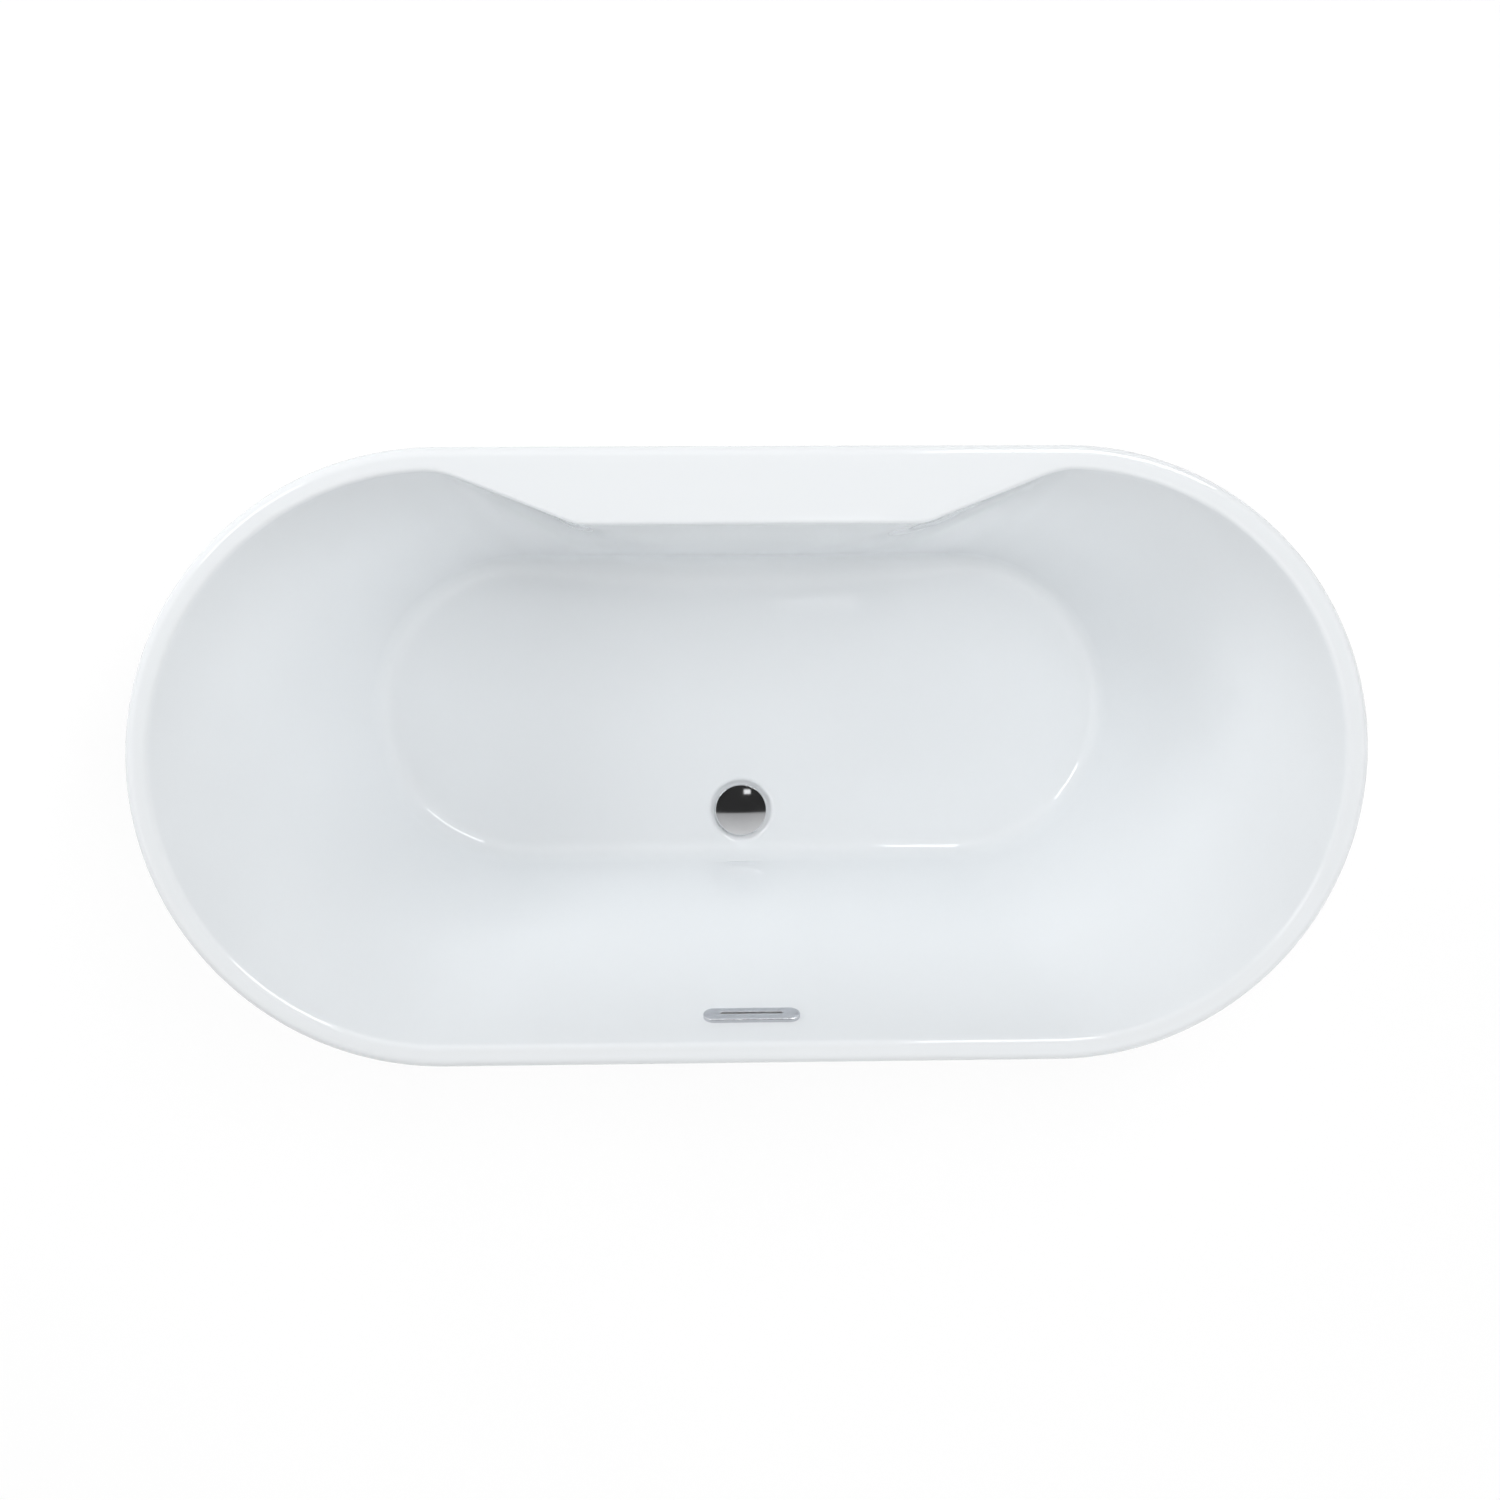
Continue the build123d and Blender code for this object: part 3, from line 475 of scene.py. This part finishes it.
def seenRows(fractions):
    # drain hole, recess, floor, wall, opening's edge, deck and rim, lip; and the wall's first row
    rows = wellFloorRows()[::-1]
    rows.append(lift(wellCurve(foot), floorTop + filletRun))
    firstWall = len(rows)
    rows += [lift(wellCurve(f), floorTop + f * shell["bathDepth"]) for f in fractions]
    for s in np.linspace(0, 1, shell["openingSteps"] + 1)[1:]:
        below = (1 - s) ** 2 * shell["openingRound"]
        curve = wellCurve(1 - below / shell["bathDepth"], s ** 2 * shell["openingRound"])
        rows.append(lift(curve, tubTop - below))
    inner = rows[-1][:, :2]
    outer = oval(columns, endCentre, tubHalfWidth - shell["rimRound"])
    share = np.linspace(0, 1, shell["deckSteps"] + 1)[1:]
    rows += [lift(inner + s * (outer - inner), tubTop) for s in share]
    for turn in np.linspace(0, math.pi / 2, shell["rimSteps"] + 1)[1:]:
        reach = tubHalfWidth - shell["rimRound"] * (1 - math.sin(turn))
        height = tubTop - shell["rimRound"] * (1 - math.cos(turn))
        rows.append(lift(oval(columns, endCentre, reach), height))
    edge, lipLow = shell["lipEdge"], tubTop - shell["lip"]
    outer, inner = (oval(columns, endCentre, tubHalfWidth - inset) for inset in (0, shell["wall"]))
    heights = np.linspace(tubTop - shell["rimRound"], lipLow + edge, shell["lipSteps"] + 1)[1:]
    rows += [lift(outer, z) for z in heights]
    rows.append(lift(outer + (inner - outer) * edge / shell["wall"], lipLow))
    return rows, firstWall


def hiddenRows(fractions):
    # back up inside the lip, under the rim, down the wall and under the floor to the drain
    # hole, a wall's thickness away from the seen side; and the wall's first row
    wall, slant, lean = shell["wall"], wallSlant, wallLean
    lipLow = tubTop - shell["lip"]
    inner = oval(columns, endCentre, tubHalfWidth - wall)
    rows = [lift(inner, z) for z in np.linspace(lipLow, tubTop - wall, shell["backSteps"] + 1)]
    under = wellCurve(1.0, wall / slant + (wall - wall * lean / slant) * lean)
    share = np.linspace(0, 1, shell["backSteps"] + 1)[1:]
    rows += [lift(inner + s * (under - inner), tubTop - wall) for s in share]
    firstWall = len(rows)
    rows += [lift(wellCurve(f, wall / slant), floorTop + f * shell["bathDepth"] - wall * lean / slant)
             for f in fractions[-2::-1]]
    ring = wellCurve(foot, wall / slant)
    ringHeight = filletRun - wall * lean / slant
    rows.append(lift(ring, floorTop + ringHeight))
    run = filletRun * shell["backFillet"]
    target = towards(ring, drainY, shell["bossRadius"])
    for s in spacing(np.linalg.norm(target - ring, axis=1), steps=shell["underFloorSteps"]):
        curve = ring + s[:, None] * (target - ring)
        height = floorHeight(curve[:, 0], curve[:, 1], run, ringHeight + wall, wall / slant)
        rows.append(lift(curve, floorTop - wall + height))
    bossLow = floorTop - shell["recessDepth"] - wall
    for radius in np.linspace(shell["bossRadius"], shell["holeRadius"], 3):
        rows.append(lift(towards(ring, drainY, radius), bossLow))
    return rows, firstWall


def overflowHole(faces, curveX, seenFirst, hiddenFirst):
    # leaves out the same patch of both sides and gives the quads that join its edges
    count = faces.shape[1]
    ahead = columns[2] < -0.999
    cols = np.flatnonzero(ahead & (np.abs(curveX) < shell["overflowHalf"]))
    cols = np.concatenate([cols[cols > count // 2], cols[cols <= count // 2]])
    spanCols = np.concatenate([[(cols[0] - 1) % count], cols])
    loopCols = np.concatenate([spanCols, [(cols[-1] + 1) % count]])
    keep = np.ones(faces.shape[:2], bool)
    for first in (seenFirst, hiddenFirst):
        keep[np.ix_([first, first + 1], spanCols)] = False

    def loop(first, step):
        a, b, c = (first, first + 1, first + 2)[::step]
        edge = [(a, k) for k in loopCols] + [(b, loopCols[-1])]
        edge += [(c, k) for k in loopCols[::-1]] + [(b, loopCols[0])]
        return np.array([r * count + k for r, k in edge])

    front, back = loop(seenFirst, 1), loop(hiddenFirst, -1)
    return keep, np.stack([front, back, np.roll(back, -1), np.roll(front, -1)], -1)


def bathShell():
    # one closed sheet, round from the drain hole's seen edge to its hidden one
    fractions = wallFractions()
    rows, seenWall = seenRows(fractions)
    backRows, backWall = hiddenRows(fractions)
    hiddenFrom = len(rows)
    points = np.array(rows + backRows)
    faces = gridFaces(len(points), len(columns[0]))[..., ::-1]
    material = np.zeros(faces.shape[:2], int)
    material[hiddenFrom:-1] = 1
    # the hole takes three rows of the wall; the hidden rows run downwards, without the topmost
    holeRow = shell["wallSteps"] - 1
    backRow = hiddenFrom + backWall + len(fractions) - 2 - (holeRow + 2)
    curveX = rows[seenWall + holeRow][:, 0]
    keep, sides = overflowHole(faces, curveX, seenWall + holeRow, backRow)
    faces = np.concatenate([faces[keep], sides])
    material = np.concatenate([material[keep], np.zeros(len(sides), int)])
    piece = addMesh("bath_shell", points.reshape(-1, 3), faces,
                    [finishes["white_acrylic"], fibreBack], material)
    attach(piece, "tub")
    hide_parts("basin")
    return piece


bathShell()
print("bath shell made")


# ---- outer skirt

skirt = {"baseLength": 1.160, "baseWidth": 0.540, "thickness": 0.005, "bulge": 1.3,
         "gap": 0.0005, "foot": 0.0012, "footRound": 0.3, "steps": 40}


def outerSkirt():
    # ovals that widen quickly at the base and slowly near the rim, share = 1 - (1 - u)^bulge,
    # up the outside, over the hidden top edge and down the inside
    low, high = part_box("outer_skirt")
    bend = tubTop - shell["lip"] - skirt["gap"]
    topWidth, topLength = high.y * 2, high.x * 2
    u = np.linspace(0, 1, skirt["steps"] + 1)

    def ringAt(u, inset, height=None):
        share = 1 - (1 - u) ** skirt["bulge"]
        width = skirt["baseWidth"] + (topWidth - skirt["baseWidth"]) * share
        length = skirt["baseLength"] + (topLength - skirt["baseLength"]) * share
        z = low.z + (bend - low.z) * u if height is None else height
        return lift(oval(columns, (length - width) / 2, width / 2 - inset), z)

    foot, thick = skirt["foot"], skirt["thickness"]
    lifted = foot * skirt["footRound"]
    rows = [ringAt(0, foot, low.z), ringAt(0, lifted, low.z + lifted)]
    start = foot / (bend - low.z)
    rows += [ringAt(step, 0) for step in start + (1 - start) * u[1:]]
    rows.append(ringAt(1, 0, high.z))
    hiddenFrom = len(rows) - 1
    rows.append(ringAt(1, thick, high.z))
    rows += [ringAt(step, thick) for step in u[::-4]]
    points = np.array(rows)
    faces = gridFaces(len(rows), points.shape[1])
    material = np.zeros(faces.shape[:2], int)
    material[hiddenFrom + 1:-1] = 1
    piece = addMesh("skirt_panel", points.reshape(-1, 3), faces.reshape(-1, 4),
                    [finishes["white_acrylic"], fibreBack], material.ravel())
    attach(piece, "tub")
    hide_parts("outer_skirt")
    return piece


outerSkirt()
print("skirt made")


# ---- stopper cap

cap = {"edge": 0.0013, "wall": 0.002, "hollow": 0.002, "steps": 144, "crown": 0.0018,
       "bevel": 0.0004, "sealRadius": 0.028, "stemRadius": 0.0037, "pole": 0.0005}


def lathe(profile, steps, centre):
    # a closed outline of radius and height, turned round an upright axis
    turn = np.linspace(0, 2 * math.pi, steps, endpoint=False)
    radius, height = profile[:, :1], profile[:, 1:]
    return np.stack([centre[0] + radius * np.cos(turn), centre[1] + radius * np.sin(turn),
                     height + 0 * turn], -1)


def stopperCap():
    # crowned top, quarter-round edge, straight side and a hollow underside
    low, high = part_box("stopper_cap")
    radius = (high.x - low.x) / 2
    dome = radius - cap["edge"]
    out = np.linspace(cap["pole"], 1, 26)
    crown = np.stack([out * dome, high.z - cap["crown"] * out ** 2], -1)
    turn = np.linspace(0, math.pi / 2, 9)[1:]
    shoulderHigh = high.z - cap["crown"]
    edgeHeight = shoulderHigh - cap["edge"] * (1 - np.cos(turn))
    edge = np.stack([dome + cap["edge"] * np.sin(turn), edgeHeight], -1)
    inside = radius - cap["wall"]
    roof, bevel = low.z + cap["hollow"], cap["bevel"]
    under = np.array([
        [radius, low.z + bevel], [radius - bevel, low.z], [inside, low.z], [inside, roof],
        [cap["sealRadius"], roof], [cap["sealRadius"], low.z], [cap["stemRadius"], low.z],
        [cap["stemRadius"], roof], [cap["pole"] * dome, roof]])
    profile = np.concatenate([crown, edge, under])[::-1]
    points = lathe(profile, cap["steps"], (0, drainY))
    faces = gridFaces(len(profile), cap["steps"], closeRows=False).reshape(-1, 4)
    # the two small rings at the axis are drawn to a point
    points[0, :, :2] = points[-1, :, :2] = (0, drainY)
    piece = addMesh(
        "stopper_button", points.reshape(-1, 3), faces, [finishes["chrome"]], sharpAngle=40)
    welded(piece)
    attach(piece, "stopper")
    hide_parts("stopper_cap")
    return piece


def welded(piece, distance=1e-6):
    work = bmesh.new()
    work.from_mesh(piece.data)
    bmesh.ops.remove_doubles(work, verts=work.verts, dist=distance)
    work.to_mesh(piece.data)
    work.free()


stopperCap()
print("stopper made")


# ---- overflow cover

cover = {"length": 0.120, "height": 0.026, "depth": 0.005, "wall": 0.0015, "round": 0.0017,
         "slotLength": 0.077, "slotHeight": 0.0039, "slotDrop": 0.0015, "slotRound": 0.0005}


def overflowCover():
    # ovals from the slot's edge out over the crowned face, down the rim and back inside
    below = shell["overflowBelow"]
    origin = np.array([0, -openingRadius + frontLean * below, tubTop - below])
    normal = np.array([0, 1, frontLean]) / frontSlant
    up = np.array([0, -frontLean, 1]) / frontSlant
    quarter = math.pi / 2
    turns = ovalColumns(stretches((0, 1, 24)), stretches((-quarter, quarter, 40)), stretches((1, -1, 48)))

    def ringAt(length, height, drop, level):
        flat = oval(turns, (length - height) / 2, height / 2, -drop)
        return origin + flat[:, :1] * np.array([-1, 0, 0]) + flat[:, 1:] * up + level * normal

    depth, roundness, wall = cover["depth"], cover["round"], cover["wall"]
    slot = (cover["slotLength"], cover["slotHeight"])
    small = cover["slotRound"]
    rows = [ringAt(*slot, cover["slotDrop"], level) for level in (depth - wall, depth - small)]
    first = np.array(slot) + 2 * small
    rows.append(ringAt(*first, cover["slotDrop"], depth))
    last = np.array([cover["length"], cover["height"]]) - 2 * roundness
    for s in np.linspace(0, 1, 8)[1:]:
        length, height = first + s * (last - first)
        rows.append(ringAt(length, height, cover["slotDrop"] * (1 - s), depth))
    for turn in np.linspace(0, math.pi / 2, 8)[1:]:
        grow = 2 * roundness * math.sin(turn)
        rows.append(ringAt(*(last + grow), 0, depth - roundness * (1 - math.cos(turn))))
    rows.append(ringAt(cover["length"], cover["height"], 0, 0.0))
    inside = (cover["length"] - 2 * wall, cover["height"] - 2 * wall)
    rows += [ringAt(*inside, 0, 0.0), ringAt(*inside, 0, depth - wall)]
    points = np.array(rows)
    faces = gridFaces(len(rows), points.shape[1])[..., ::-1].reshape(-1, 4)
    piece = addMesh("overflow_cover", points.reshape(-1, 3), faces, [finishes["satin_chrome"]])
    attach(piece, "tub")
    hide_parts("overflow_plate")
    return piece


overflowCover()
print("overflow cover made")


# ---- studio

studio = {"floorSize": 40.0, "floorColour": (0.90, 0.90, 0.90), "ambient": 0.0, "shadowShare": 0.16,
          "nearGlow": 1.045, "farGlow": 1.2, "nearReach": 1.6, "farReach": 4.5}
# grey card overhead, seen only in gloss: dark towards the deck's side, lighter towards the front
card = {"height": 4.2, "halfWidth": 2.6, "reach": 3.0, "darkFrom": -0.83, "stepWidth": 0.004,
        "dark": 0.03, "grey": 0.40, "pale": 0.78, "paleAt": 0.18, "darkUntil": 0.55}


def glowing(name, strength=1.0):
    # a material that only shines, and the node that does it
    made = Finish(name)
    glow = made.tree.nodes.new("ShaderNodeEmission")
    glow.inputs["Strength"].default_value = strength
    made.tree.links.new(glow.outputs[0], made.tree.nodes["Material Output"].inputs[0])
    return made, glow


def stagePlane(name, halfX, halfY, height, material):
    mesh = bpy.data.meshes.new(name)
    corners = [(x * halfX, y * halfY, height) for x, y in ((-1, -1), (1, -1), (1, 1), (-1, 1))]
    mesh.from_pydata(corners, [], [(0, 1, 2, 3)])
    mesh.materials.append(material)
    plane = bpy.data.objects.new(name, mesh)
    bpy.context.scene.collection.objects.link(plane)
    return plane


def studioFloor():
    # pale floor that looks white and keeps a faint shadow; it shines more where the lamps fade
    made, glow = glowing("studioFloor", studio["farGlow"])
    away = made.node("VectorMath", {"operation": "LENGTH"}, {0: made.place}, "Value")
    share = (away - studio["nearReach"]) * (1 / (studio["farReach"] - studio["nearReach"]))
    tone = made.ramp(share, (0.0, (studio["nearGlow"] / studio["farGlow"],) * 3), (1.0, (1, 1, 1)))
    made.tree.links.new(tone.socket, glow.inputs["Color"])
    made.shader.inputs["Base Color"].default_value = (*studio["floorColour"], 1)
    made.shader.inputs["Roughness"].default_value = 1.0
    made.shader.inputs["Specular IOR Level"].default_value = 0.0
    mix = made.tree.nodes.new("ShaderNodeMixShader")
    camera = made.node("LightPath", output="Is Camera Ray")
    glossy = made.node("LightPath", output="Is Glossy Ray")
    clear = made.node("LightPath", output="Is Transmission Ray")
    seen = (camera + glossy + clear) * (1 - studio["shadowShare"])
    made.tree.links.new(seen.socket, mix.inputs[0])
    made.tree.links.new(made.shader.outputs[0], mix.inputs[1])
    made.tree.links.new(glow.outputs[0], mix.inputs[2])
    made.tree.links.new(mix.outputs[0], made.tree.nodes["Material Output"].inputs[0])
    half = studio["floorSize"] / 2
    stagePlane("studio_floor", half, half, 0.0, made.material)


def studioCard():
    # tone along y: pale at the front, grey, a sharp step to dark, then slowly back to white
    made, glow = glowing("studioCard")
    y = made.node("SeparateXYZ", inputs={"Vector": made.place}, output="Y")
    reach = card["reach"]
    share = (y + reach) * (0.5 / reach)
    step = (card["darkFrom"] + reach) / (2 * reach)
    grey, dark, pale = ((card[k],) * 3 for k in ("grey", "dark", "pale"))
    tone = made.ramp(
        share, (0.0, (1, 1, 1)), (card["paleAt"], pale), (step - card["stepWidth"], grey), (step, dark),
        (card["darkUntil"], dark), (1.0, (1, 1, 1)))
    made.tree.links.new(tone.socket, glow.inputs["Color"])
    plane = stagePlane("studio_card", card["halfWidth"], reach, card["height"], made.material)
    plane.visible_camera = plane.visible_diffuse = plane.visible_shadow = False


def studioWorld():
    world = bpy.data.worlds.new("studio_world")
    bpy.context.scene.world = world
    world.use_nodes = True
    tree = world.node_tree
    path = tree.nodes.new("ShaderNodeLightPath")
    seen = Value(tree, path.outputs["Is Camera Ray"]) + Value(tree, path.outputs["Is Glossy Ray"])
    seen = seen + Value(tree, path.outputs["Is Transmission Ray"])
    level = seen * (1 - studio["ambient"]) + studio["ambient"]
    background = tree.nodes["Background"]
    background.inputs["Color"].default_value = (1, 1, 1, 1)
    tree.links.new(level.socket, background.inputs["Strength"])


lamps = {
    # soft boxes round the tub: azimuth counts from +X towards +Y, glow is the face's brightness
    "right_back": {"azimuth": 30, "rise": 30, "glow": 3.7},
    "back_right_high": {"azimuth": 60, "rise": 60, "glow": 6.4},
    "back_top": {"azimuth": 60, "rise": 75, "glow": 11.9},
    "back_left": {"azimuth": 120, "rise": 30, "glow": 7.2},
    "left_back": {"azimuth": 150, "rise": 30, "glow": 5.1},
    "left": {"azimuth": 180, "rise": 30, "glow": 8.1},
    "top": {"azimuth": 0, "rise": 90, "glow": 7.6},
    "front": {"azimuth": 270, "rise": 30, "glow": 6.8},
    "right_front": {"azimuth": 330, "rise": 30, "glow": 6.9},
}
lampDistance = 3.4
lampSize = 0.9
# long low boxes that light the skirt and stay under the rim's height
lowLamps = {"count": 6, "distance": 3.0, "size": (1.6, 0.4), "height": 0.30, "glow": 3.6}
streaks = {
    # bright panels that show only in gloss: middle, the way the face looks, width and height
    "window": {"place": (1.48, 2.39, 2.42), "faces": (0, -1, 0), "size": (1.90, 1.75), "glow": 6.5},
    "strip": {"place": (-1.79, 1.25, 2.9), "faces": (0.53, -0.37, -0.77), "size": (0.9, 0.5), "glow": 6.5},
    "pane": {"place": (0.36, -0.04, 4.1), "faces": (0, 0, -1), "size": (0.24, 0.16), "glow": 1.0},
}


def softLamp(name, place, faces, size, glow, streak=True):
    lamp = bpy.data.lights.new(name, "AREA")
    lamp.shape = "RECTANGLE"
    lamp.size, lamp.size_y = size
    lamp.energy = glow * math.pi * size[0] * size[1]
    holder = bpy.data.objects.new(name, lamp)
    holder.location = place
    holder.rotation_euler = Vector(faces).to_track_quat("-Z", "Y").to_euler()
    holder.visible_camera = False
    holder.visible_diffuse = not streak
    holder.visible_glossy = streak
    bpy.context.scene.collection.objects.link(holder)


def lampRing():
    middle = Vector((0, 0, tubTop / 2))
    for name, values in lamps.items():
        turn, climb = math.radians(values["azimuth"]), math.radians(values["rise"])
        level = math.cos(climb)
        aim = Vector((math.cos(turn) * level, math.sin(turn) * level, math.sin(climb)))
        place = middle + aim * lampDistance
        softLamp(name, place, -aim, (lampSize, lampSize), values["glow"], streak=False)
    for k in range(lowLamps["count"]):
        turn = 2 * math.pi * k / lowLamps["count"]
        aim = Vector((math.cos(turn), math.sin(turn), 0))
        place = aim * lowLamps["distance"] + Vector((0, 0, lowLamps["height"]))
        softLamp("skirt_lamp_%d" % k, place, -aim, lowLamps["size"], lowLamps["glow"], streak=False)


studioFloor()
studioCard()
studioWorld()
lampRing()
for name, values in streaks.items():
    softLamp(name, **values)
print("studio lit")


# ---- camera

lens = {"focal": 60.0, "sensor": 36.0, "distance": 3.0055, "across": 0.0031, "down": 0.0123,
        "tilt": 7.11, "lean": -2.15, "roll": -0.18}


def mainCamera():
    # looks down on the rim from above, tipped a little towards the front
    tilt, lean, roll = (math.radians(lens[k]) for k in ("tilt", "lean", "roll"))
    turn = Matrix.Rotation(tilt, 3, "X") @ Matrix.Rotation(lean, 3, "Y") @ Matrix.Rotation(roll, 3, "Z")
    flip = Matrix(((1, 0, 0), (0, -1, 0), (0, 0, -1)))
    world = turn @ flip
    rimCentre = Vector((lens["across"], lens["down"], lens["distance"]))
    eye = Vector((0, 0, tubTop)) - world.transposed() @ rimCentre
    right, down, ahead = (Vector(world[k]) for k in range(3))
    placed = Matrix((right, -down, -ahead)).transposed().to_4x4()
    placed.translation = eye
    data = bpy.data.cameras.new("main_camera")
    data.lens, data.sensor_width = lens["focal"], lens["sensor"]
    camera = bpy.data.objects.new("main_camera", data)
    camera.matrix_world = placed
    bpy.context.scene.collection.objects.link(camera)
    bpy.context.scene.camera = camera


mainCamera()
bpy.context.scene.view_settings.view_transform = "Standard"
